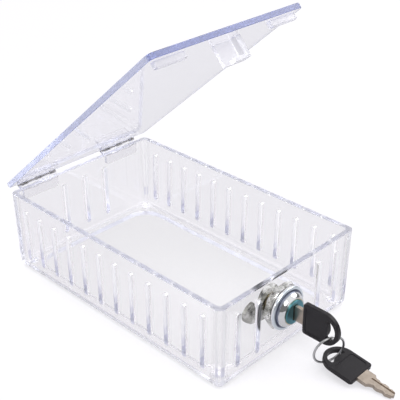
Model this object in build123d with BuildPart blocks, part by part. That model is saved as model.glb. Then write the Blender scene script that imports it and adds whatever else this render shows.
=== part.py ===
from build123d import *
from math import cos, radians, sin, tan
import os

os.makedirs("parts", exist_ok=True)

# Clear lock box that lies on its back plate: X across, Y along with the lock at -Y and the
# hinges at +Y, Z up out of the wall it is screwed to. The origin is the centre of the back face.

# shared fits
panel = 3.0                 # thickness of the clear walls and of the lid
running_fit = 0.05          # radial play of a turning part
loose_fit = 0.3             # air between two parts that move past each other

# tray
tray_length = 160.0         # over the rim
tray_width = 101.4
tray_height = 46.5
draft = 1.04                # degrees on every wall, for pulling the tray from its mould
rim_corner = 2.6
foot_radius = 3.0           # outer edge between the walls and the back plate
frame_width = 7.9           # width of the back plate frame, from the outside of the wall
window_corner = 13.0
screw_inset = 6.6           # wall screw holes, from the outside of the foot
screw_hole = 3.8
screw_head = 6.4

# vent slots
slot_width = 2.8
slot_length = 31.4
slot_height = 23.1          # centre above the back face
long_slots = 12
long_pitch = 12.37
lock_slots = (-37.4, -23.2, 23.2, 37.4)
hinge_slots = 3
hinge_pitch = 15.1

# lid and its hinge line
open_angle = 41.6           # how far the lid stands open at rest
hinge_out = 2.9             # hinge line, outwards from the rim
hinge_z = tray_height + 0.6
hinge_inset = 20.5          # middle of each hinge, from the side of the rim
lid_gap = loose_fit         # under the closed lid
lid_corner = 3.2

# lock
lock_x = -2.0
lock_z = 23.6
flange_r = 11.85
flange_t = 1.5
barrel_r = 9.5
barrel_flat = 8.0           # half width over the two flats
plug_r = 6.7
boss_rise = 3.4             # raised middle of the lock, in front of the flange
barrel_length = 8.2
keyway_width = 2.7
keyway_height = 7.6

# key
bow_width = 17.8
bow_length = 21.4
bow_thick = 2.6
blade_thick = 2.0
blade_width = 8.4           # wide root that stops against the plug, through the slot of its cap
cut_width = 5.4             # cut part that goes into the plug
blade_length = 18.4
neck_length = 5.45          # blade root showing between the plug and the bow

slope = tan(radians(draft))


def half_width(z):
    return tray_width / 2 - (tray_height - z) * slope


def half_length(z):
    return tray_length / 2 - (tray_height - z) * slope


# ---------------------------------------------------------------- tray
rim_y = tray_length / 2
window_w = 2 * (half_width(0) - frame_width)
window_l = 2 * (half_length(0) - frame_width)
screw_x = half_width(0) - screw_inset
screw_y = half_length(0) - screw_inset
seat_r = flange_r + 0.6
seat_cut = 0.05             # depth of the flange seat at its shallowest point
seat_y = -half_length(lock_z - seat_r) + seat_cut

with BuildPart() as base_tray:
    with BuildSketch(Plane.XY):
        RectangleRounded(2 * half_width(0), 2 * half_length(0), rim_corner)
    extrude(amount=tray_height, taper=-draft)
    fillet(base_tray.edges().group_by(Axis.Z)[0], radius=foot_radius)
    with BuildSketch(Plane.XY.offset(panel)):
        RectangleRounded(2 * (half_width(panel) - panel), 2 * (half_length(panel) - panel), rim_corner / 2)
    extrude(amount=tray_height, taper=-draft, mode=Mode.SUBTRACT)
    chamfer(base_tray.edges().group_by(Axis.Z)[-1], length=0.25)
    # window that leaves a frame all round for the thermostat's wires and back plate
    with BuildSketch(Plane.XY):
        RectangleRounded(window_w, window_l, window_corner)
    extrude(amount=panel, mode=Mode.SUBTRACT)
    with Locations((0, 0, panel)):
        with GridLocations(2 * screw_x, 2 * screw_y, 2, 2):
            CounterSinkHole(screw_hole / 2, screw_head / 2)
    # vent slots
    with BuildSketch(Plane.YZ):
        with Locations((0, slot_height)):
            with GridLocations(long_pitch, 0, long_slots, 1):
                SlotOverall(slot_length, slot_width, rotation=90)
    extrude(amount=tray_width, both=True, mode=Mode.SUBTRACT)
    with BuildSketch(Plane.XZ):
        with Locations(*[(x, slot_height) for x in lock_slots]):
            SlotOverall(slot_length, slot_width, rotation=90)
    extrude(amount=tray_length, mode=Mode.SUBTRACT)
    with BuildSketch(Plane.XZ):
        with Locations((0, slot_height)):
            with GridLocations(hinge_pitch, 0, hinge_slots, 1):
                SlotOverall(slot_length, slot_width, rotation=90)
    extrude(amount=-tray_length, mode=Mode.SUBTRACT)
    # lock opening with two flats, and the flat seat round it
    with BuildSketch(Plane.XZ):
        with Locations((lock_x, lock_z)):
            Circle(barrel_r + loose_fit / 2)
            Rectangle(2 * barrel_flat + loose_fit, 4 * barrel_r, mode=Mode.INTERSECT)
    extrude(amount=tray_length, mode=Mode.SUBTRACT)
    with BuildSketch(Plane.XZ.offset(-seat_y)):
        with Locations((lock_x, lock_z)):
            Circle(seat_r)
    extrude(amount=panel, mode=Mode.SUBTRACT)
base_tray.part.label = "base_tray"
export_step(base_tray.part, "parts/base_tray.step")

# ---------------------------------------------------------------- lid
# The lid is drawn closed and then turned with this plane: its origin is the hinge line, its Y
# runs along the lid towards the hinges and its Z out of the lid.
hinge_y = rim_y + hinge_out
turn = radians(open_angle)
lid_frame = Plane(origin=(0, hinge_y, hinge_z), x_dir=(1, 0, 0), z_dir=(0, sin(turn), cos(turn)))
lid_under = tray_height + lid_gap - hinge_z         # inner face of the lid, from the hinge line
lid_up = Axis((0, hinge_y, hinge_z), (0, sin(turn), cos(turn)))

with BuildPart() as lid_panel:
    with BuildSketch(lid_frame.offset(lid_under)):
        with BuildSketch(mode=Mode.PRIVATE) as lid_outline:
            with Locations((0, -hinge_y)):
                Rectangle(tray_width, tray_length)
            fillet(lid_outline.vertices().group_by(Axis.Y)[0], radius=lid_corner)
            fillet(lid_outline.vertices().group_by(Axis.Y)[-1], radius=1.0)
        add(lid_outline.sketch)
    extrude(amount=panel)
    chamfer(lid_panel.faces().sort_by(lid_up)[-1].edges(), length=0.35)
    chamfer(lid_panel.faces().sort_by(lid_up)[0].edges(), length=0.25)
lid_panel.part.label = "lid_panel"
export_step(lid_panel.part, "parts/lid_panel.step")

# locating ribs that drop inside the lock wall
rib_length = 18.2
rib_thick = 2.8
rib_drop = 3.5
rib_x = tray_width / 2 - panel - 1.1 - rib_length / 2
rib_y = -rim_y + panel + 0.6 + rib_thick / 2

with BuildPart() as lid_rib_left:
    with BuildSketch(lid_frame.offset(lid_under)):
        with Locations((-rib_x, rib_y - hinge_y)):
            Rectangle(rib_length, rib_thick)
    extrude(amount=-rib_drop)
    chamfer(lid_rib_left.faces().sort_by(lid_up)[0].edges(), length=0.6)
lid_rib_left.part.label = "lid_rib_left"
export_step(lid_rib_left.part, "parts/lid_rib_left.step")

with BuildPart() as lid_rib_right:
    add(mirror(lid_rib_left.part, about=Plane.YZ))
lid_rib_right.part.label = "lid_rib_right"
export_step(lid_rib_right.part, "parts/lid_rib_right.step")

# ---------------------------------------------------------------- lock housing
lock_frame = Plane(origin=(lock_x, 0, lock_z))      # sketches here are (radius, Y)
lock_axis = Axis((lock_x, 0, lock_z), (0, 1, 0))
flange_front = seat_y - flange_t
boss_front = flange_front - boss_rise
boss_root_r = 9.6
boss_tip_r = 7.5
collar_r = plug_r + 0.25
collar_t = 0.6
barrel_end = seat_y + barrel_length

with BuildPart() as lock_housing:
    with BuildSketch(lock_frame):
        with BuildLine():
            boss = ThreePointArc((boss_tip_r, boss_front),
                                 (boss_tip_r + 1.15, boss_front + 1.2),
                                 (boss_root_r, flange_front + 0.45))
            edge = RadiusArc((flange_r - 0.8, flange_front), (flange_r, flange_front + 0.8), -0.85)
            Polyline(boss @ 1, (boss_root_r + 0.9, flange_front), edge @ 0)
            Polyline(edge @ 1, (flange_r, seat_y), (barrel_r, seat_y), (barrel_r, barrel_end - 0.4),
                     (barrel_r - 0.4, barrel_end), (plug_r + running_fit, barrel_end),
                     (plug_r + running_fit, boss_front + collar_t + 0.2),
                     (collar_r + running_fit, boss_front + collar_t + 0.2),
                     (collar_r + running_fit, boss_front), boss @ 0)
        make_face()
    revolve(axis=lock_axis)
    # two flats that stop the housing from turning in the wall
    with BuildSketch(Plane.XZ.offset(-barrel_end)):
        with Locations((lock_x - barrel_flat - barrel_r / 2, lock_z), (lock_x + barrel_flat + barrel_r / 2, lock_z)):
            Rectangle(barrel_r, 3 * barrel_r)
    extrude(amount=barrel_end - seat_y, mode=Mode.SUBTRACT)
lock_housing.part.label = "lock_housing"
export_step(lock_housing.part, "parts/lock_housing.step")

# washer and ring nut behind the wall
washer_y = -half_length(lock_z - barrel_r - 1.7) + panel
washer_t = 0.6
nut_t = 3.0
nut_y = washer_y + washer_t

with BuildPart() as lock_washer:
    with BuildSketch(Plane.XZ.offset(-washer_y - washer_t)):
        with Locations((lock_x, lock_z)):
            Circle(barrel_r + 1.7)
            Circle(barrel_r + loose_fit / 2, mode=Mode.SUBTRACT)
            with PolarLocations(barrel_r + 1.9, 16):
                Rectangle(1.4, 0.9, mode=Mode.SUBTRACT)
    extrude(amount=washer_t)
lock_washer.part.label = "lock_washer"
export_step(lock_washer.part, "parts/lock_washer.step")

with BuildPart() as lock_nut:
    with BuildSketch(Plane.XZ.offset(-nut_y - nut_t)):
        with Locations((lock_x, lock_z)):
            RegularPolygon(radius=barrel_r + 1.6, side_count=6, major_radius=False)
            Circle(barrel_r, mode=Mode.SUBTRACT)
    extrude(amount=nut_t)
    with BuildSketch(lock_frame):
        with Locations((0, nut_y + nut_t / 2)):
            with BuildLine():
                Polyline((0, nut_y - 1), (barrel_r + 2.2, nut_y - 1), (barrel_r + 2.2, nut_y + 0.2),
                         (barrel_r + 3.6, nut_y + 0.9), (barrel_r + 3.6, nut_y + nut_t - 0.9),
                         (barrel_r + 2.2, nut_y + nut_t - 0.2), (barrel_r + 2.2, nut_y + nut_t + 1),
                         (0, nut_y + nut_t + 1), close=True)
        make_face()
    revolve(axis=lock_axis, mode=Mode.INTERSECT)
lock_nut.part.label = "lock_nut"
export_step(lock_nut.part, "parts/lock_nut.step")

# ---------------------------------------------------------------- lock plug
cap_t = 0.7
cap_front = boss_front - cap_t
plug_end = barrel_end + 1.0                 # the cam is clamped against this shoulder
tail_r = 4.75
tail_flat = 3.9
tail_length = 6.4
keyway_end = cap_front - neck_length + blade_length + 0.6
wafers = 4
wafer_pitch = 2.4
wafer_t = 1.0
wafer_w = 6.6
wafer_h = 11.2
wafer_mid = boss_front + collar_t + 1.6 + wafers * wafer_pitch / 2

with BuildPart() as lock_plug:
    with BuildSketch(lock_frame):
        with BuildLine():
            Polyline((0, boss_front), (collar_r, boss_front), (collar_r, boss_front + collar_t),
                     (plug_r, boss_front + collar_t), (plug_r, plug_end), (tail_r, plug_end),
                     (tail_r, plug_end + tail_length - 0.5), (tail_r - 0.5, plug_end + tail_length),
                     (0, plug_end + tail_length), close=True)
        make_face()
    revolve(axis=lock_axis)
    # flats on the threaded tail carry the cam round
    with BuildSketch(Plane.XZ.offset(-plug_end)):
        with Locations((lock_x - tail_flat - 1, lock_z), (lock_x + tail_flat + 1, lock_z)):
            Rectangle(2, 3 * tail_r)
    extrude(amount=-tail_length, mode=Mode.SUBTRACT)
    with BuildSketch(Plane.XZ.offset(-keyway_end)):
        with Locations((lock_x, lock_z)):
            Rectangle(keyway_width, keyway_height)
    extrude(amount=tray_length / 2, mode=Mode.SUBTRACT)
    # one cross slot for each wafer
    with BuildSketch(lock_frame):
        with Locations((0, wafer_mid)):
            with GridLocations(0, wafer_pitch, 1, wafers):
                Rectangle(wafer_w + 0.3, wafer_t + 0.2)
    extrude(amount=plug_r, both=True, mode=Mode.SUBTRACT)
lock_plug.part.label = "lock_plug"
export_step(lock_plug.part, "parts/lock_plug.step")

with BuildPart() as plug_cap:
    with BuildSketch(Plane.XZ.offset(-boss_front)):
        with Locations((lock_x, lock_z)):
            Circle(plug_r - 0.1)
    extrude(amount=cap_t)
    chamfer(plug_cap.faces().sort_by(Axis.Y)[0].edges(), length=0.35)
    with BuildSketch(Plane.XZ.offset(-boss_front)):
        with Locations((lock_x, lock_z)):
            Rectangle(keyway_width + 0.5, blade_width + 2 * loose_fit)
    extrude(amount=cap_t, mode=Mode.SUBTRACT)
plug_cap.part.label = "plug_cap"
export_step(plug_cap.part, "parts/plug_cap.step")

with BuildPart() as lock_wafers:
    with BuildSketch(lock_frame.offset(-wafer_h / 2)):
        with Locations((0, wafer_mid)):
            with GridLocations(0, wafer_pitch, 1, wafers):
                Rectangle(wafer_w, wafer_t)
    extrude(amount=wafer_h)
    with BuildSketch(Plane.XZ.offset(-keyway_end)):
        with Locations((lock_x, lock_z)):
            Rectangle(keyway_width, keyway_height)
    extrude(amount=tray_length / 2, mode=Mode.SUBTRACT)
lock_wafers.part.label = "lock_wafers"
export_step(lock_wafers.part, "parts/lock_wafers.step")

# ---------------------------------------------------------------- hook cam
cam_t = 1.8
cam_hub_r = 7.8
cam_reach = 22.8            # furthest point from the lock axis, stays under the closed lid
cam_back = plug_end + cam_t
notch_x = 14.5              # bottom of the V notch where the finger meets the arm
notch_z = 1.2
finger_x = 16.7             # root of the finger
finger_z = 7.4
finger_end = cam_reach - 2.6
arm_low = -7.4              # underside of the arm, where it leaves the hub

cam_face = Plane(origin=(lock_x, cam_back, lock_z), x_dir=(1, 0, 0), z_dir=(0, -1, 0))

with BuildPart() as lock_cam:
    with BuildSketch(cam_face):
        Circle(cam_hub_r)
        with BuildLine():
            arm = Polyline((0, cam_hub_r - 1.2), (-0.75 * cam_hub_r, -arm_low - 0.2), (2.9 - notch_x, 2.6),
                           (-notch_x, notch_z), (1.1 - finger_x, finger_z - 0.5), (-finger_x, finger_z),
                           (-finger_end, finger_z - 1.3), (-finger_end - 2.0, finger_z - 3.4))
            tip = RadiusArc(arm @ 1, (1.2 - cam_reach, -1.6), -5.5)
            Polyline(tip @ 1, (2.0 - finger_end, -4.2), (2.3 - notch_x, -6.0), (-0.5 * cam_hub_r, arm_low),
                     (0, 1.2 - cam_hub_r), arm @ 0)
        make_face()
    extrude(amount=cam_t)
    with BuildSketch(cam_face):
        Circle(tail_r + 0.1)
        Rectangle(2 * tail_flat + 0.2, 4 * tail_r, mode=Mode.INTERSECT)
    extrude(amount=cam_t, mode=Mode.SUBTRACT)
lock_cam.part.label = "lock_cam"
export_step(lock_cam.part, "parts/lock_cam.step")

# split spring washer and nut on the tail
spring_t = 0.8
tail_nut_t = 2.9

with BuildPart() as cam_washer:
    with BuildSketch(Plane.XZ.offset(-cam_back - spring_t)):
        with Locations((lock_x, lock_z)):
            Circle(tail_r + 2.4)
            Circle(tail_r + 0.15, mode=Mode.SUBTRACT)
            with Locations((tail_r + 1, 0)):
                Rectangle(4, 0.5, rotation=25, mode=Mode.SUBTRACT)
    extrude(amount=spring_t)
cam_washer.part.label = "cam_washer"
export_step(cam_washer.part, "parts/cam_washer.step")

tail_nut_y = cam_back + spring_t
with BuildPart() as cam_nut:
    with BuildSketch(Plane.XZ.offset(-tail_nut_y - tail_nut_t)):
        with Locations((lock_x, lock_z)):
            RegularPolygon(radius=7.0, side_count=6, major_radius=False)
            Circle(tail_r, mode=Mode.SUBTRACT)
    extrude(amount=tail_nut_t)
    with BuildSketch(lock_frame):
        with BuildLine():
            Polyline((0, tail_nut_y), (8.4, tail_nut_y), (8.4, tail_nut_y + tail_nut_t - 0.6),
                     (7.2, tail_nut_y + tail_nut_t), (0, tail_nut_y + tail_nut_t), close=True)
        make_face()
    revolve(axis=lock_axis, mode=Mode.INTERSECT)
cam_nut.part.label = "cam_nut"
export_step(cam_nut.part, "parts/cam_nut.step")

# ---------------------------------------------------------------- catch on the lid
# A web with a J hook in front of it: the finger of the cam swings in above the bar.
catch_width = 15.0
catch_drop = 11.4
catch_web = 1.8
catch_bar = 1.8
catch_leg = 4.0
catch_right = lock_x + 14.0
catch_left = catch_right - catch_width
bar_left = lock_x + 3.2
web_front = cam_back + 0.9
hook_front = plug_end - 1.3
hook_plane = Plane(origin=lid_frame.from_local_coords(Vector(0, web_front - hinge_y, lid_under)),
                   x_dir=lid_frame.x_dir, z_dir=-lid_frame.y_dir)

with BuildPart() as lid_catch:
    with BuildSketch(lid_frame.offset(lid_under)):
        with Locations(((catch_left + catch_right) / 2, web_front + catch_web / 2 - hinge_y)):
            Rectangle(catch_width, catch_web)
    extrude(amount=-catch_drop)
    with BuildSketch(hook_plane):
        with BuildLine():
            Polyline((catch_right, 0), (catch_right, -catch_drop), (bar_left, -catch_drop),
                     (bar_left, -catch_drop + catch_bar),
                     (catch_right - catch_leg, -catch_drop + catch_bar),
                     (catch_right - catch_leg, 0), close=True)
        make_face()
    extrude(amount=web_front - hook_front)
    fillet(lid_catch.edges().filter_by(lid_up).sort_by(Axis.X)[-2:], radius=0.8)
lid_catch.part.label = "lid_catch"
export_step(lid_catch.part, "parts/lid_catch.step")

# ---------------------------------------------------------------- hinges
hinge_mid = tray_width / 2 - hinge_inset
hinge_length = 24.0
leaf_t = 1.9
leaf_reach = 6.2
knuckle_r = 2.4
knuckles = 5
knuckle_gap = loose_fit
knuckle_w = (hinge_length - (knuckles - 1) * knuckle_gap) / knuckles
knuckle_step = knuckle_w + knuckle_gap
pin_r = 0.8
leaf_top = hinge_z - knuckle_r - 0.4
leaf_low = leaf_top - leaf_reach + 1.0
lid_top = tray_height + lid_gap + panel
base_knuckles = [(k - 2) * knuckle_step for k in range(0, knuckles, 2)]
lid_knuckles = [(k - 2) * knuckle_step for k in range(1, knuckles, 2)]
lid_leaf_z = lid_top - hinge_z

with BuildPart() as hinge_left_base_leaf:
    with BuildSketch(Plane.YZ.offset(-hinge_mid - hinge_length / 2)):
        with Locations((rim_y + leaf_t / 2, (leaf_top + leaf_low) / 2)):
            Rectangle(leaf_t, leaf_top - leaf_low)
    extrude(amount=hinge_length)
    fillet(hinge_left_base_leaf.edges().filter_by(Axis.Y).group_by(Axis.Z)[0], radius=1.5)
    for k in base_knuckles:
        with BuildSketch(Plane.YZ.offset(-hinge_mid + k - knuckle_w / 2)):
            with BuildLine():
                Polyline((rim_y, leaf_top), (rim_y, hinge_z - 0.9), (hinge_y, hinge_z),
                         (hinge_y, hinge_z - knuckle_r), (rim_y + leaf_t, leaf_top), close=True)
            make_face()
            with Locations((hinge_y, hinge_z)):
                Circle(knuckle_r)
        extrude(amount=knuckle_w)
    with BuildSketch(Plane.YZ.offset(-hinge_mid - hinge_length / 2)):
        with Locations((hinge_y, hinge_z)):
            Circle(pin_r)
    extrude(amount=hinge_length, mode=Mode.SUBTRACT)
hinge_left_base_leaf.part.label = "hinge_left_base_leaf"
export_step(hinge_left_base_leaf.part, "parts/hinge_left_base_leaf.step")

# the lid leaf lies on top of the lid and reaches over its edge to the knuckles
leaf_side = Plane(origin=lid_frame.from_local_coords(Vector(-hinge_mid - hinge_length / 2, 0, 0)),
                  x_dir=lid_frame.y_dir, z_dir=lid_frame.x_dir)

with BuildPart() as hinge_left_lid_leaf:
    with BuildSketch(leaf_side):
        with BuildLine():
            Polyline((-hinge_out - leaf_reach + 1.4, lid_leaf_z), (knuckle_r - 1.2, lid_leaf_z),
                     (knuckle_r - 0.6, lid_leaf_z + 0.6), (knuckle_r - 1.4, lid_leaf_z + leaf_t),
                     (-hinge_out - leaf_reach + 1.9, lid_leaf_z + leaf_t),
                     (-hinge_out - leaf_reach + 1.4, lid_leaf_z + leaf_t - 0.5), close=True)
        make_face()
    extrude(amount=hinge_length)
    for k in lid_knuckles:
        with BuildSketch(leaf_side.offset(hinge_length / 2 + k - knuckle_w / 2)):
            with BuildLine():
                Polyline((-knuckle_r + 0.6, lid_leaf_z + 0.1), (-knuckle_r + 0.3, 0.5), (0, 0),
                         (knuckle_r, 0), (knuckle_r - 0.6, lid_leaf_z + 0.6), close=True)
            make_face()
            Circle(knuckle_r)
        extrude(amount=knuckle_w)
    with BuildSketch(leaf_side):
        Circle(pin_r + running_fit)
    extrude(amount=hinge_length, mode=Mode.SUBTRACT)
hinge_left_lid_leaf.part.label = "hinge_left_lid_leaf"
export_step(hinge_left_lid_leaf.part, "parts/hinge_left_lid_leaf.step")

with BuildPart() as hinge_left_pin:
    with BuildSketch(Plane.YZ.offset(-hinge_mid - hinge_length / 2)):
        with Locations((hinge_y, hinge_z)):
            Circle(pin_r)
    extrude(amount=hinge_length)
    chamfer(hinge_left_pin.edges(), length=0.2)
hinge_left_pin.part.label = "hinge_left_pin"
export_step(hinge_left_pin.part, "parts/hinge_left_pin.step")

with BuildPart() as hinge_right_base_leaf:
    add(mirror(hinge_left_base_leaf.part, about=Plane.YZ))
hinge_right_base_leaf.part.label = "hinge_right_base_leaf"
export_step(hinge_right_base_leaf.part, "parts/hinge_right_base_leaf.step")

with BuildPart() as hinge_right_lid_leaf:
    add(mirror(hinge_left_lid_leaf.part, about=Plane.YZ))
hinge_right_lid_leaf.part.label = "hinge_right_lid_leaf"
export_step(hinge_right_lid_leaf.part, "parts/hinge_right_lid_leaf.step")

with BuildPart() as hinge_right_pin:
    add(mirror(hinge_left_pin.part, about=Plane.YZ))
hinge_right_pin.part.label = "hinge_right_pin"
export_step(hinge_right_pin.part, "parts/hinge_right_pin.step")

# ---------------------------------------------------------------- keys
# Both keys are cut alike. A key is drawn flat, from its shoulder: the blade runs along +X, the
# bow along -X, and Z is its thickness.
bow_round = 8.9             # length of the rounded end
bow_half = bow_width / 2
rim_band = 1.8              # raised rim round the hollow panel of the bow
panel_depth = 0.25
panel_end = 11.6
hole_in = 15.2              # inner arc of the ring hole: middle and ends, from the shoulder
hole_in_end = 13.0
hole_out = 19.4             # outer arc
hole_out_end = 16.4
hole_half = 5.4
tang_length = 6.0           # part of the blade that the bow is moulded round
tang_width = 6.0
tang_thick = 1.2
root_length = neck_length + cap_t - loose_fit / 2
groove = 1.1                # warding grooves
blade_end = blade_length - 0.9
tip_half = 1.5

with BuildPart() as key_bow_flat:
    with BuildSketch(Plane.XY.offset(-bow_thick / 2)) as bow_outline:
        with BuildLine():
            end = ThreePointArc((-bow_length + bow_round, bow_half), (-bow_length, 0),
                                (-bow_length + bow_round, -bow_half))
            Polyline(end @ 1, (0, -bow_half), (0, bow_half), end @ 0)
        make_face()
        fillet(bow_outline.vertices().group_by(Axis.X)[-1], radius=1.6)
    extrude(amount=bow_thick)
    chamfer(key_bow_flat.faces().filter_by(Axis.Z).edges(), length=0.3)
    # hollow panel on both faces
    with BuildSketch(Plane.XY.offset(bow_thick / 2 - panel_depth), Plane.XY.offset(-bow_thick / 2)):
        with Locations((-(rim_band + panel_end) / 2, 0)):
            RectangleRounded(panel_end - rim_band, bow_width - 2 * rim_band, 1.2)
    extrude(amount=panel_depth, mode=Mode.SUBTRACT)
    # crescent hole for the ring
    with BuildSketch(Plane.XY.offset(-bow_thick / 2)) as ring_hole:
        with BuildLine():
            outer = ThreePointArc((-hole_out_end, hole_half), (-hole_out, 0), (-hole_out_end, -hole_half))
            inner = ThreePointArc((-hole_in_end, -hole_half), (-hole_in, 0), (-hole_in_end, hole_half))
            Line(outer @ 1, inner @ 0)
            Line(inner @ 1, outer @ 0)
        make_face()
        fillet(ring_hole.vertices(), radius=0.8)
    extrude(amount=bow_thick, mode=Mode.SUBTRACT)
    # pocket that grips the tang
    with BuildSketch(Plane.YZ.offset(-tang_length)):
        Rectangle(tang_width, tang_thick)
    extrude(amount=tang_length, mode=Mode.SUBTRACT)

with BuildPart() as key_blade_flat:
    with BuildSketch(Plane.XY.offset(-blade_thick / 2)):
        with BuildLine():
            root = blade_width / 2
            cut = cut_width / 2
            step = root_length
            Polyline((0, root), (step - 0.8, root), (step, cut + 0.5), (step + 0.5, cut), (step + 2.4, cut),
                     (step + 3.3, cut - 0.6), (step + 4.4, cut - 0.5), (step + 5.6, cut), (step + 7.4, cut - 0.1),
                     (step + 8.6, cut - 0.8), (step + 9.8, cut - 0.4), (blade_end, tip_half + 0.3))
            Polyline((blade_end, -tip_half), (step + 10.0, 0.7 - cut), (step + 8.8, 0.2 - cut),
                     (step + 7.2, 0.9 - cut), (step + 6.0, 0.5 - cut), (step + 4.6, -cut), (step + 3.0, 0.1 - cut),
                     (step + 2.0, 0.6 - cut), (step + 0.8, -cut), (step, -cut - 0.5), (step - 0.8, -root),
                     (0, -root), (0, root))
            ThreePointArc((blade_end, tip_half + 0.3), (blade_length, 0.15), (blade_end, -tip_half))
        make_face()
    extrude(amount=blade_thick)
    with BuildSketch(Plane.YZ.offset(-tang_length)):
        Rectangle(tang_width, tang_thick)
    extrude(amount=tang_length)
    # warding grooves, staggered from face to face
    with BuildSketch(Plane.YZ.offset(step - 1.0)):
        with Locations((0.9, blade_thick / 2), (-0.8, -blade_thick / 2)):
            Rectangle(1.1, groove)
    extrude(amount=blade_length, mode=Mode.SUBTRACT)

key_place = Plane(origin=(lock_x, cap_front - neck_length, lock_z), x_dir=(0, 1, 0), z_dir=(1, 0, 0))

with BuildPart() as key_bow:
    with Locations(key_place):
        add(key_bow_flat.part)
key_bow.part.label = "key_bow"
export_step(key_bow.part, "parts/key_bow.step")

with BuildPart() as key_blade:
    with Locations(key_place):
        add(key_blade_flat.part)
key_blade.part.label = "key_blade"
export_step(key_blade.part, "parts/key_blade.step")

# the spare key leans with its tip on the table and its bow on the ring
spare_tilt = radians(7.7)
spare_yaw = radians(1.1)
spare_tip = Vector(sin(spare_yaw) * cos(spare_tilt), -cos(spare_yaw) * cos(spare_tilt), -sin(spare_tilt))
spare_up = Vector(sin(spare_yaw) * sin(spare_tilt), -cos(spare_yaw) * sin(spare_tilt), cos(spare_tilt))
spare_rise = blade_thick / 2 * cos(spare_tilt) + blade_length * sin(spare_tilt)
spare_place = Plane(origin=(lock_x + 5.0, cap_front - neck_length - bow_length - 11.05, spare_rise),
                    x_dir=spare_tip, z_dir=spare_up)

with BuildPart() as spare_key_bow:
    with Locations(spare_place):
        add(key_bow_flat.part)
spare_key_bow.part.label = "spare_key_bow"
export_step(spare_key_bow.part, "parts/spare_key_bow.step")

with BuildPart() as spare_key_blade:
    with Locations(spare_place):
        add(key_blade_flat.part)
spare_key_blade.part.label = "spare_key_blade"
export_step(spare_key_blade.part, "parts/spare_key_blade.step")

# ---------------------------------------------------------------- key ring
wire_r = 0.6
ring_r = 8.16
ring_yaw = radians(22.8)
ring_lean = radians(7.9)
ring_axis = Vector(sin(ring_yaw) * cos(ring_lean), cos(ring_yaw) * cos(ring_lean), sin(ring_lean))
ring_y = cap_front - neck_length - hole_in + 0.07
ring_z = lock_z - hole_half + wire_r + 0.6 - ring_r * cos(ring_lean)
ring_place = Plane(origin=(lock_x + 1.12, ring_y, ring_z), x_dir=(cos(ring_yaw), -sin(ring_yaw), 0),
                   z_dir=ring_axis)
ring_section = Plane(origin=ring_place.origin, x_dir=ring_place.x_dir, z_dir=ring_place.y_dir)

with BuildPart() as key_ring:
    with BuildSketch(ring_section):
        with Locations((ring_r, 0)):
            RegularPolygon(radius=wire_r, side_count=12)
    revolve(axis=Axis(ring_place.origin, ring_axis))
key_ring.part.label = "key_ring"
export_step(key_ring.part, "parts/key_ring.step")
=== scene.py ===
import math

import bpy
from mathutils import Matrix, Vector


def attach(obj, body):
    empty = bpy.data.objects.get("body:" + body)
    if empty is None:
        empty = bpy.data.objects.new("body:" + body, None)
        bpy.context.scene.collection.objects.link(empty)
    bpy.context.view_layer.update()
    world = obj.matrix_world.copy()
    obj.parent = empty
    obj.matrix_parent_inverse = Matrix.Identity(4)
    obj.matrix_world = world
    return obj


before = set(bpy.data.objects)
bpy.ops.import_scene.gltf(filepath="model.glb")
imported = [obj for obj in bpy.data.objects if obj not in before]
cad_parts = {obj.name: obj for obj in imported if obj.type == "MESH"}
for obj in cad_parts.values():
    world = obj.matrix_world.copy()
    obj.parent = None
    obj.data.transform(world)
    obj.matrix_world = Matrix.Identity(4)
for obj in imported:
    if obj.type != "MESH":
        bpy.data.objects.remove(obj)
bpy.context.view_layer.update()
scene = bpy.context.scene

# ---- Camera --------------------------------------------------------------------------------
# A long lens looks down on the near corner of the tray, with the lock to the right. Light
# crosses many clear faces, and runs along inside the sheets, before it leaves the box.
camera_place, lens_length, film_width = (-0.2909, -0.3033, 0.2879), 81.46, 36.0
nearest_shown, light_steps, see_through_steps = 0.01, 96, 24
view_forward = Vector((0.62267, 0.61102, -0.48881)).normalized()
view_right = Vector((0.69939, -0.71473, -0.00251)).normalized()
view_up = view_right.cross(view_forward)
camera = bpy.data.objects.new("camera", bpy.data.cameras.new("camera"))
scene.collection.objects.link(camera)
camera.data.sensor_width = film_width
camera.data.lens = lens_length
camera.data.clip_start = nearest_shown
camera.matrix_world = Matrix.Translation(camera_place) @ Matrix((
    (view_right.x, view_up.x, -view_forward.x, 0.0),
    (view_right.y, view_up.y, -view_forward.y, 0.0),
    (view_right.z, view_up.z, -view_forward.z, 0.0),
    (0.0, 0.0, 0.0, 1.0)))
scene.camera = camera
scene.cycles.max_bounces = light_steps
scene.cycles.transmission_bounces = light_steps
scene.cycles.glossy_bounces = light_steps
scene.cycles.transparent_max_bounces = see_through_steps


# ---- Studio --------------------------------------------------------------------------------
# A white tent over a pale table top, with two soft lamps. Polished metal sees the dark room low
# down and on the near side, where the tent is open. The table is shaded softly under the box.
class Wire:
    """A socket that can be used in sums: each operator adds its Math node."""

    def __init__(self, tree, socket):
        self.tree, self.socket = tree, socket

    def math(self, operation, *values):
        node = self.tree.nodes.new("ShaderNodeMath")
        node.operation = operation
        for slot, value in zip(node.inputs, values):
            plug(self.tree, slot, value)
        return Wire(self.tree, node.outputs[0])

    def __add__(self, other): return self.math("ADD", self, other)
    def __radd__(self, other): return self.math("ADD", other, self)
    def __sub__(self, other): return self.math("SUBTRACT", self, other)
    def __rsub__(self, other): return self.math("SUBTRACT", other, self)
    def __mul__(self, other): return self.math("MULTIPLY", self, other)
    def __rmul__(self, other): return self.math("MULTIPLY", other, self)
    def __pow__(self, other): return self.math("POWER", self, other)
    def __gt__(self, other): return self.math("GREATER_THAN", self, other)
    def __lt__(self, other): return self.math("LESS_THAN", self, other)
    def __or__(self, other): return self.math("MAXIMUM", self, other)
    def __and__(self, other): return self.math("MINIMUM", self, other)
    def __abs__(self): return self.math("ABSOLUTE", self)

    def between(self, low, high):
        """A number that goes from low to high as this one goes from 0 to 1."""
        return self * (high - low) + low


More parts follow.
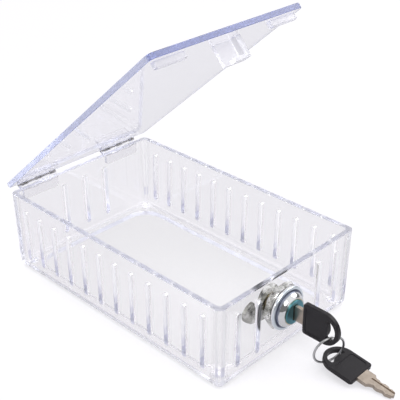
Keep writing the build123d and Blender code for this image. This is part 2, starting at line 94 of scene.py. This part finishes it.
def plug(tree, slot, value):
    """Links a wire, or each of a list of them, into a socket, or sets it to a plain value."""
    if isinstance(value, list):
        for wire in value:
            plug(tree, slot, wire)
    elif isinstance(value, Wire):
        tree.links.new(value.socket, slot)
    elif value is not None:
        if slot.type == "RGBA" and len(value) == 3:
            value = (*value, 1.0)
        slot.default_value = value


class Tree:
    """A tree of nodes. Every node that isn't plain maths comes from its one method."""

    def __init__(self, tree):
        self.tree = tree

    def node(self, kind, settings=None, inputs=None, out=0):
        """Adds a node of this kind, with its settings and inputs, and gives one of its outputs."""
        node = self.tree.nodes.new(kind if "Node" in kind else "ShaderNode" + kind)
        for name, value in (settings or {}).items():
            if name == "stops":
                ramp = node.color_ramp
                while len(ramp.elements) < len(value):
                    ramp.elements.new(0.5)
                for element, (place, colour) in zip(ramp.elements, value):
                    element.position = place
                    element.color = (*colour, 1.0)
            else:
                setattr(node, name, value)
        for name, value in (inputs or {}).items():
            plug(self.tree, node.inputs[name], value)
        return Wire(self.tree, node.outputs[out]) if node.outputs else None

    def axes(self, vector):
        """The three parts of a vector."""
        return (self.node("SeparateXYZ", inputs={0: vector}, out=axis) for axis in range(3))

    def along(self, vector, way):
        """How far a vector goes one way."""
        return self.node("VectorMath", {"operation": "DOT_PRODUCT"}, {0: vector, 1: way},
                         out="Value")

    def ray(self, *kinds):
        """1 where the ray that arrives is of one of these kinds."""
        return sum(self.node("LightPath", out=f"Is {kind} Ray") for kind in kinds) > 0.5

    def mirrored(self):
        """1 where the ray that arrives comes off a shiny face, and not through a clear one."""
        return self.ray("Glossy") * (1 - self.ray("Transmission"))


class Finish(Tree):
    """One material: a Principled shader and whatever nodes feed it."""

    def __init__(self, name, **sockets):
        self.material = bpy.data.materials.new(name)
        self.material.use_nodes = True
        super().__init__(self.material.node_tree)
        self.shader = self.tree.nodes["Principled BSDF"]
        self.output = self.tree.nodes["Material Output"]
        self.set(**sockets)

    def set(self, **sockets):
        for name, value in sockets.items():
            plug(self.tree, self.shader.inputs[name.replace("_", " ")], value)

    def place(self, scale=(1.0, 1.0, 1.0), move=(0.0, 0.0, 0.0)):
        """Where a point of the object is, stretched and moved."""
        at = self.node("TexCoord", out="Object")
        return self.node("Mapping", inputs={"Vector": at, "Location": move, "Scale": scale})

    def noise(self, vector, scale, detail=3.0, roughness=0.55):
        return self.node("TexNoise", inputs={
            "Vector": vector, "Scale": scale, "Detail": detail, "Roughness": roughness})

    def blend(self, factor, first, second):
        return self.node("Mix", {"data_type": "RGBA"}, {0: factor, 6: first, 7: second}, out=2)

    def bump(self, height, distance, strength=1.0):
        return self.node("Bump", inputs={
            "Height": height, "Distance": distance, "Strength": strength})

    def swap(self, factor, other):
        """Shows another shader in place of the Principled one, by a factor."""
        own = Wire(self.tree, self.shader.outputs[0])
        mix = self.node("MixShader", inputs={0: factor, 1: own, 2: other})
        plug(self.tree, self.output.inputs["Surface"], mix)


white = (1.0, 1.0, 1.0)
tent_light, tent_seen = 0.75, 1.0
open_below, open_side, open_cosine, open_shade = 0.30, (-0.62, -0.61, 0.49), 0.86, 0.80
world = bpy.data.worlds.new("tent")
scene.world = world
world.use_nodes = True
tent = Tree(world.node_tree)
tent_way = tent.node("TexCoord", out="Generated")
*_, tent_height = tent.axes(tent_way)
dark_room = (tent_height < open_below) | (tent.along(tent_way, open_side) > open_cosine)
tent_fabric = world.node_tree.nodes["Background"]
plug(tent.tree, tent_fabric.inputs["Color"], white)
plug(tent.tree, tent_fabric.inputs["Strength"],
     tent_light + tent.ray("Camera", "Glossy", "Transmission") * (tent_seen - tent_light)
     - dark_room * tent.mirrored() * open_shade)

table_half, table_height = 4.0, -0.0005
laminate_grey, laminate_matt, laminate_tint = (0.82, 0.82, 0.82), 0.9, (0.975, 0.965, 1.0)
shade_reach, shade_falloff, shade_floor, shade_rise = 0.25, 4, 0.815, 3.0
table_brightest, table_glow_share, table_mirror_loss = 1.07, 0.82, 0.35
table_corners = [(x * table_half, y * table_half, table_height)
                 for x, y in ((-1, -1), (1, -1), (1, 1), (-1, 1))]
table_mesh = bpy.data.meshes.new("table")
table_mesh.from_pydata(table_corners, [], [(0, 1, 2, 3)])
table = bpy.data.objects.new("table", table_mesh)
scene.collection.objects.link(table)
laminate = Finish("table_laminate", Base_Color=laminate_grey, Roughness=laminate_matt)
table_open = laminate.node("AmbientOcclusion", {"samples": 16}, {"Distance": shade_reach},
                           out="AO")
table_level = table_open ** shade_falloff * shade_rise + shade_floor
table_level = (table_level & table_brightest) * (1 - laminate.mirrored() * table_mirror_loss)
table_tone = laminate.node("VectorMath", {"operation": "SCALE"},
                           {0: laminate_tint, "Scale": table_level})
table_glow = laminate.node("Emission", inputs={"Color": table_tone})
laminate.swap(laminate.ray("Camera", "Glossy", "Transmission") * table_glow_share, table_glow)
table_mesh.materials.append(laminate.material)

lamps_aim_at = Vector((0.0, 0.0, 0.03))
for name, place, size, power in (("key_light", (-0.5, -0.9, 1.1), 0.7, 9.0),
                                 ("fill_light", (1.1, -0.4, 0.9), 0.9, 5.0)):
    lamp = bpy.data.lights.new(name, "AREA")
    lamp.shape, lamp.size, lamp.energy = "DISK", size, power
    lamp_object = bpy.data.objects.new(name, lamp)
    scene.collection.objects.link(lamp_object)
    lamp_object.location = place
    lamp_way = lamps_aim_at - Vector(place)
    lamp_object.rotation_euler = lamp_way.to_track_quat("-Z", "Y").to_euler()


# ---- Clear tray ----------------------------------------------------------------------------
# Moulded from clear acrylic, 3 mm thick. The faces that the mould's slides leave, in the vent
# slots, along the rim and round the window, are satin and carry a painted violet shade, which
# in the slots is darkest towards the foot. The long right wall and the hinge wall carry a
# painted grey shade, and the corners and the foot are scuffed.
def acrylic(name, tint, dye_colour, dye_strength, wave_scale, wave_depth, smear):
    """A finish of clear sheet, where it is, and how rough its haze makes it."""
    patch_falloff, least_haze = 4, 0.006
    finish = Finish(name, Base_Color=tint, IOR=1.49, Transmission_Weight=1.0)
    at = finish.place()
    patches = finish.noise(at, scale=34.0, detail=5.0, roughness=0.6) ** patch_falloff
    haze = patches * smear + least_haze
    waves = finish.noise(at, scale=wave_scale, detail=2.0)
    finish.set(Normal=finish.bump(waves, distance=wave_depth), Roughness=haze)
    finish.swap(finish.node("LightPath", out="Is Shadow Ray"),
                finish.node("BsdfTransparent", inputs={"Color": tint}))
    dye = finish.node("VolumeAbsorption", inputs={"Color": dye_colour, "Density": dye_strength})
    plug(finish.tree, finish.output.inputs["Volume"], dye)
    return finish, at, haze


def edge_on(finish, way):
    """1 where the surface is turned more than 60 degrees from facing a way, or the way back."""
    facing = abs(finish.along(finish.node("TexCoord", out="Normal"), way))
    return facing < math.cos(math.radians(60))


def paint(finish, *names):
    """Gives CAD nodes their finish."""
    for name in names:
        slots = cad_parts[name].data.materials
        slots.clear()
        slots.append(finish.material)


violet_dye = (0.0, 0.17, 0.86)
# The second, grey clear tone is painted shade for the long right wall and the hinge wall.
clear_near, painted_wall_shade, colourless = (0.995, 0.988, 0.992), (0.85, 0.845, 0.855), (1.0, 1.0, 1.0)
# The violet tones of the cut faces are painted shade, darkest at the foot of the slots.
painted_cut_shade, painted_slot_shade = (0.78, 0.78, 0.86), (0.88, 0.875, 0.92)
painted_slot_foot_shade = (0.60, 0.60, 0.73)
slot_shade_at_foot, slot_shade_lost_with_height = 1.15, 42
cut_matt, scuff_matt = 0.28, 0.25
wall_inside_x, wall_inside_y, plate_top, rim_below = 0.0465, 0.0765, 0.0032, 0.0460
corner_from_x, corner_from_y, foot_top = 0.0440, 0.0738, 0.0030
slot_foot, slot_foot_top = 0.0072, 0.0128
tray_clear, tray_at, tray_haze = acrylic(
    "tray_acrylic", clear_near, violet_dye, dye_strength=2.0,
    wave_scale=9.0, wave_depth=0.00015, smear=0.08)
rightwards, backwards, above = tray_clear.axes(tray_at)
across, lengthwise = abs(rightwards), abs(backwards)
wall_cut = ((across > wall_inside_x) * edge_on(tray_clear, (1, 0, 0))
            | (lengthwise > wall_inside_y) * edge_on(tray_clear, (0, 1, 0)))
window_cut = ((above < plate_top) * (across < wall_inside_x) * (lengthwise < wall_inside_y)
              * edge_on(tray_clear, (0, 0, 1)))
slot_cut = wall_cut * (above < rim_below)
slot_foot_cut = slot_cut * (above > slot_foot) * (above < slot_foot_top)
rim_cut = wall_cut * (above > rim_below)
# The painted shade in the slots is strongest at their foot and gone higher up.
slot_shade_fade = (slot_shade_at_foot - above * slot_shade_lost_with_height) | 0.0
# Where the painted grey shade goes: the long right wall and the hinge wall, above the plate.
painted_shade_walls = ((rightwards > corner_from_x) | (backwards > corner_from_y)) * (above > plate_top)
scuffed = (across > corner_from_x) * (lengthwise > corner_from_y) | (above < foot_top)
tray_tone = tray_clear.blend(painted_shade_walls, clear_near, painted_wall_shade)
tray_tone = tray_clear.blend(slot_cut, tray_tone, colourless)
# Painted violet shade on the slot faces, the rim and the window's edge, darkest at the slot foot.
tray_tone = tray_clear.blend(slot_cut * slot_shade_fade, tray_tone, painted_slot_shade)
tray_tone = tray_clear.blend(window_cut + rim_cut, tray_tone, painted_cut_shade)
tray_tone = tray_clear.blend(slot_foot_cut, tray_tone, painted_slot_foot_shade)
tray_clear.set(Base_Color=tray_tone,
               Roughness=(window_cut + wall_cut) * cut_matt + scuffed * scuff_matt + tray_haze)
paint(tray_clear, "base_tray")

# ---- Lid -----------------------------------------------------------------------------------
# A flat sheet with two ribs and the catch block cemented under it. Its sawn edges are left
# matt, and the front one carries a painted violet shade, for the colour and reflections that
# light picks up as it runs along inside the sheet.
lid_open = math.radians(41.6)
lid_square = (0.0, math.sin(lid_open), math.cos(lid_open))
lid_front = (0.0, -math.cos(lid_open), math.sin(lid_open))
# The front edge's darker violet is painted shade.
lid_sheet, painted_front_edge_shade, lid_dye = (0.885, 0.88, 0.905), (0.62, 0.64, 0.82), (0.0, 0.13, 0.68)
sawn_matt = 0.34
for name, front_edge, pieces in (
        ("lid_acrylic", painted_front_edge_shade, ("lid_panel",)),
        ("fitting_acrylic", lid_sheet, ("lid_rib_left", "lid_rib_right", "lid_catch"))):
    sawn, _, sawn_haze = acrylic(name, lid_sheet, lid_dye, dye_strength=3.5,
                                 wave_scale=5.0, wave_depth=0.0002, smear=0.05)
    # The front edge is painted with the darker violet shade.
    sawn.set(Base_Color=sawn.blend(edge_on(sawn, lid_front), front_edge, lid_sheet),
             Roughness=edge_on(sawn, lid_square) * sawn_matt + sawn_haze)
    paint(sawn, *pieces)

# ---- Hinges --------------------------------------------------------------------------------
# Clear leaves, cemented to the tray and the lid, turn on pins of drawn steel wire that are
# pressed through the five knuckles.
hinge_sheet, pin_dark, pin_bright = (0.94, 0.935, 0.945), (0.24, 0.23, 0.22), (0.58, 0.56, 0.54)
hinge_clear, *_ = acrylic("hinge_acrylic", hinge_sheet, violet_dye, dye_strength=4.0,
                          wave_scale=60.0, wave_depth=0.00005, smear=0.10)
pin_steel = Finish("pin_steel", Metallic=1.0)
draw_marks = pin_steel.noise(pin_steel.place(scale=(20.0, 900.0, 900.0)), scale=1.0)
pin_steel.set(Base_Color=pin_steel.blend(draw_marks, pin_dark, pin_bright),
              Roughness=draw_marks.between(0.15, 0.40))
for side in ("left", "right"):
    paint(hinge_clear, f"hinge_{side}_base_leaf", f"hinge_{side}_lid_leaf")
    paint(pin_steel, f"hinge_{side}_pin")

# ---- Lock body -----------------------------------------------------------------------------
# Die cast, chrome plated, and clamped in the wall by its ring nut. The flange is brushed, the
# domed boss is polished, and the corner between them carries a painted dark line of shade.
lock_x, lock_height = -0.002, 0.0236
flange_inner_r, boss_outer_r, corner_waver, wall_front = 0.01045, 0.00905, 0.0004, -0.0800
chrome_dull, chrome_bright = (0.66, 0.67, 0.69), (0.84, 0.84, 0.85)
# The dark corner colour is painted shade, for the shadow in the groove between boss and flange.
flange_blue, painted_groove_shade, brushed_matt = (0.74, 0.80, 0.86), (0.28, 0.30, 0.37), 0.2
chrome = Finish("lock_chrome", Metallic=1.0)
chrome_at = chrome.place()
chrome_cloud = chrome.noise(chrome_at, scale=220.0, detail=4.0)
lock_across, lock_along, lock_up = chrome.axes(chrome.place(move=(-lock_x, 0.0, -lock_height)))
from_axis = (lock_across * lock_across + lock_up * lock_up) ** 0.5
in_front = lock_along < wall_front
flange = in_front * (from_axis > flange_inner_r)
past_boss = from_axis > boss_outer_r + chrome_cloud * corner_waver
corner = in_front * past_boss * (from_axis < flange_inner_r)
plating = chrome.blend(chrome_cloud, chrome_dull, chrome_bright)
plating = chrome.blend(flange, plating, flange_blue)
chrome_grain = chrome.noise(chrome_at, scale=900.0, detail=2.0)
# The corner between boss and flange gets a painted dark line of shade.
chrome.set(Base_Color=chrome.blend(corner, plating, painted_groove_shade),
           Roughness=chrome_cloud.between(0.05, 0.13) + (flange + corner) * brushed_matt,
           Normal=chrome.bump(chrome_grain, distance=0.00001))
paint(chrome, "lock_housing")


# ---- Nuts, washers and cam -----------------------------------------------------------------
# Steel stampings and nuts behind the wall, zinc plated in a barrel, so their tone is cloudy.
# The cam was passivated to an olive grey.
def plated(name, stain, middle, bright, cloud_scale):
    stops = ((0.36, stain), (0.50, middle), (0.62, bright))
    finish = Finish(name, Metallic=1.0)
    cloud = finish.noise(finish.place(), scale=cloud_scale, detail=5.0, roughness=0.65)
    grain = finish.noise(finish.place(scale=(1.0, 1.0, 6.0)), scale=700.0, detail=2.0)
    finish.set(Base_Color=finish.node("ValToRGB", {"stops": stops}, {0: cloud}),
               Roughness=cloud.between(0.04, 0.26),
               Normal=finish.bump(grain, distance=0.00003))
    return finish


nut_zinc = plated("nut_zinc", stain=(0.10, 0.10, 0.10), middle=(0.52, 0.52, 0.50),
                  bright=(0.92, 0.92, 0.92), cloud_scale=150.0)
cam_zinc = plated("cam_zinc", stain=(0.17, 0.17, 0.15), middle=(0.36, 0.36, 0.33),
                  bright=(0.62, 0.62, 0.59), cloud_scale=210.0)
paint(nut_zinc, "lock_washer", "lock_nut", "cam_washer", "cam_nut")
paint(cam_zinc, "lock_cam")

# ---- Plug ----------------------------------------------------------------------------------
# Turned brass, with four brass wafers in its cross slots. A polished cap with a blue green
# cast is pressed over its face.
brass_dark, brass_bright = (0.50, 0.42, 0.24), (0.74, 0.65, 0.42)
brass = Finish("plug_brass", Metallic=1.0)
turned = brass.noise(brass.place(scale=(60.0, 2600.0, 60.0)), scale=1.0, detail=2.0)
brass.set(Base_Color=brass.blend(turned, brass_dark, brass_bright),
          Roughness=turned.between(0.22, 0.42))
paint(brass, "lock_plug", "lock_wafers")

cap_dark, cap_bright = (0.05, 0.16, 0.21), (0.15, 0.36, 0.43)
cap = Finish("plug_cap", Metallic=1.0)
cap_swirl = cap.noise(cap.place(), scale=260.0)
cap.set(Base_Color=cap.blend(cap_swirl, cap_dark, cap_bright),
        Roughness=cap_swirl.between(0.26, 0.41))
paint(cap, "plug_cap")

# ---- Threads -------------------------------------------------------------------------------
# The barrel and the plug's tail are threaded between two flats. Where a thread comes out
# behind its nut, each turn is a ridge on the upper and the lower round side.
thread = Tree(bpy.data.node_groups.new("thread", "GeometryNodeTree"))
thread_sockets = {}
for label, kind in (("Radius", "Float"), ("Ridge", "Float"), ("Half Angle", "Float"),
                    ("Lead", "Float"), ("Pitch", "Float"), ("Start", "Vector"),
                    ("Turns", "Int"), ("Metal", "Material")):
    socket = thread.tree.interface.new_socket(label, in_out="INPUT",
                                              socket_type=f"NodeSocket{kind}")
    thread_sockets[label] = socket.identifier
thread.tree.interface.new_socket("Geometry", in_out="OUTPUT", socket_type="NodeSocketGeometry")
given = {label: thread.node("NodeGroupInput", out=label) for label in thread_sockets}
arc = thread.node("GeometryNodeCurveArc", inputs={
    "Resolution": 36, "Radius": given["Radius"],
    "Start Angle": math.pi / 2 - given["Half Angle"], "Sweep Angle": given["Half Angle"] * 2})
section = thread.node("GeometryNodeCurvePrimitiveCircle", inputs={
    "Resolution": 6, "Radius": given["Ridge"]})
ridge = thread.node("GeometryNodeCurveToMesh", inputs={
    "Curve": arc, "Profile Curve": section, "Fill Caps": True})
ridge = thread.node("GeometryNodeTransform", inputs={
    "Geometry": ridge, "Rotation": (math.pi / 2, 0.0, 0.0)})
turns = thread.node("GeometryNodeMeshLine", inputs={
    "Count": given["Turns"], "Start Location": given["Start"],
    "Offset": thread.node("CombineXYZ", inputs={"Y": given["Pitch"]})})
sides = []
for half_turn in (0.0, math.pi):
    lean = thread.node("CombineXYZ", inputs={"Y": half_turn, "Z": given["Lead"]})
    sides.append(thread.node("GeometryNodeInstanceOnPoints", inputs={
        "Points": turns, "Instance": ridge, "Rotation": lean}))
whole = thread.node("GeometryNodeJoinGeometry", inputs={0: sides})
whole = thread.node("GeometryNodeRealizeInstances", inputs={0: whole})
whole = thread.node("GeometryNodeSetMaterial", inputs={
    "Geometry": whole, "Material": given["Metal"]})
thread.node("NodeGroupOutput", inputs={0: whole})

barrel_r, barrel_half_flats, barrel_pitch, barrel_first_turn = 0.0095, 0.0080, 0.0009, -0.07272
tail_r, tail_half_flats, tail_pitch, tail_first_turn = 0.00475, 0.0039, 0.0006, -0.06438
ridge_share = 0.3
for name, body, slot, metal, radius, half_flats, pitch, first_turn, turn_count in (
        ("barrel_thread", "base", "lock_chrome", chrome,
         barrel_r, barrel_half_flats, barrel_pitch, barrel_first_turn, 2),
        ("tail_thread", "plug", "plug_brass", brass,
         tail_r, tail_half_flats, tail_pitch, tail_first_turn, 1)):
    piece = bpy.data.objects.new(name, bpy.data.meshes.new(name))
    scene.collection.objects.link(piece)
    cutter = piece.modifiers.new("cutter", "NODES")
    cutter.node_group = thread.tree
    for label, value in (("Radius", radius), ("Ridge", ridge_share * pitch),
                         ("Half Angle", math.asin(half_flats / radius)),
                         ("Lead", -pitch / (2 * math.pi * radius)), ("Pitch", pitch),
                         ("Start", (lock_x, first_turn, lock_height)), ("Turns", turn_count),
                         ("Metal", metal.material)):
        cutter[thread_sockets[label]] = value
    as_cut = piece.evaluated_get(bpy.context.evaluated_depsgraph_get())
    cut_mesh = bpy.data.meshes.new_from_object(as_cut)
    piece.modifiers.remove(cutter)
    piece.data = cut_mesh
    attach(piece, body)

# ---- Keys ----------------------------------------------------------------------------------
# Two flat keys cut alike: black moulded heads with a raised rim, on blades of nickel silver
# that are milled lengthwise.
head_black, head_worn = (0.005, 0.004, 0.006), (0.012, 0.010, 0.014)
head = Finish("key_head", Specular_IOR_Level=0.33)
head_at = head.place()
head_wear = head.noise(head_at, scale=130.0, detail=5.0, roughness=0.6)
mould_grain = head.noise(head_at, scale=2600.0)
head.set(Base_Color=head.blend(head_wear, head_black, head_worn),
         Roughness=head_wear.between(0.28, 0.48),
         Normal=head.bump(mould_grain, distance=0.00003, strength=0.6))

nickel_dark, nickel_bright = (0.28, 0.235, 0.195), (0.56, 0.48, 0.415)
nickel = Finish("key_nickel", Metallic=1.0)
mill_lines = nickel.noise(nickel.place(scale=(1.0, 0.05, 1.0)), scale=3200.0)
nickel_cloud = nickel.noise(nickel.place(), scale=300.0, detail=4.0)
nickel.set(Base_Color=nickel.blend(nickel_cloud, nickel_dark, nickel_bright),
           Roughness=nickel_cloud.between(0.24, 0.44),
           Normal=nickel.bump(mill_lines, distance=0.00002))
for key in ("key", "spare_key"):
    paint(head, f"{key}_bow")
    paint(nickel, f"{key}_blade")

# ---- Key ring ------------------------------------------------------------------------------
# One turn of drawn steel wire, bent round and put through the holes of both key heads, so
# that the spare key hangs from the one in the lock.
ring_dull, ring_bright = (0.42, 0.42, 0.43), (0.66, 0.66, 0.67)
ring_steel = Finish("ring_steel", Metallic=1.0)
ring_cloud = ring_steel.noise(ring_steel.place(), scale=500.0, detail=4.0)
ring_steel.set(Base_Color=ring_steel.blend(ring_cloud, ring_dull, ring_bright),
               Roughness=ring_cloud.between(0.2, 0.4))
paint(ring_steel, "key_ring")

# ---- Colour view ---------------------------------------------------------------------------
# Colours are shown as they are.
scene.view_settings.view_transform = "Standard"
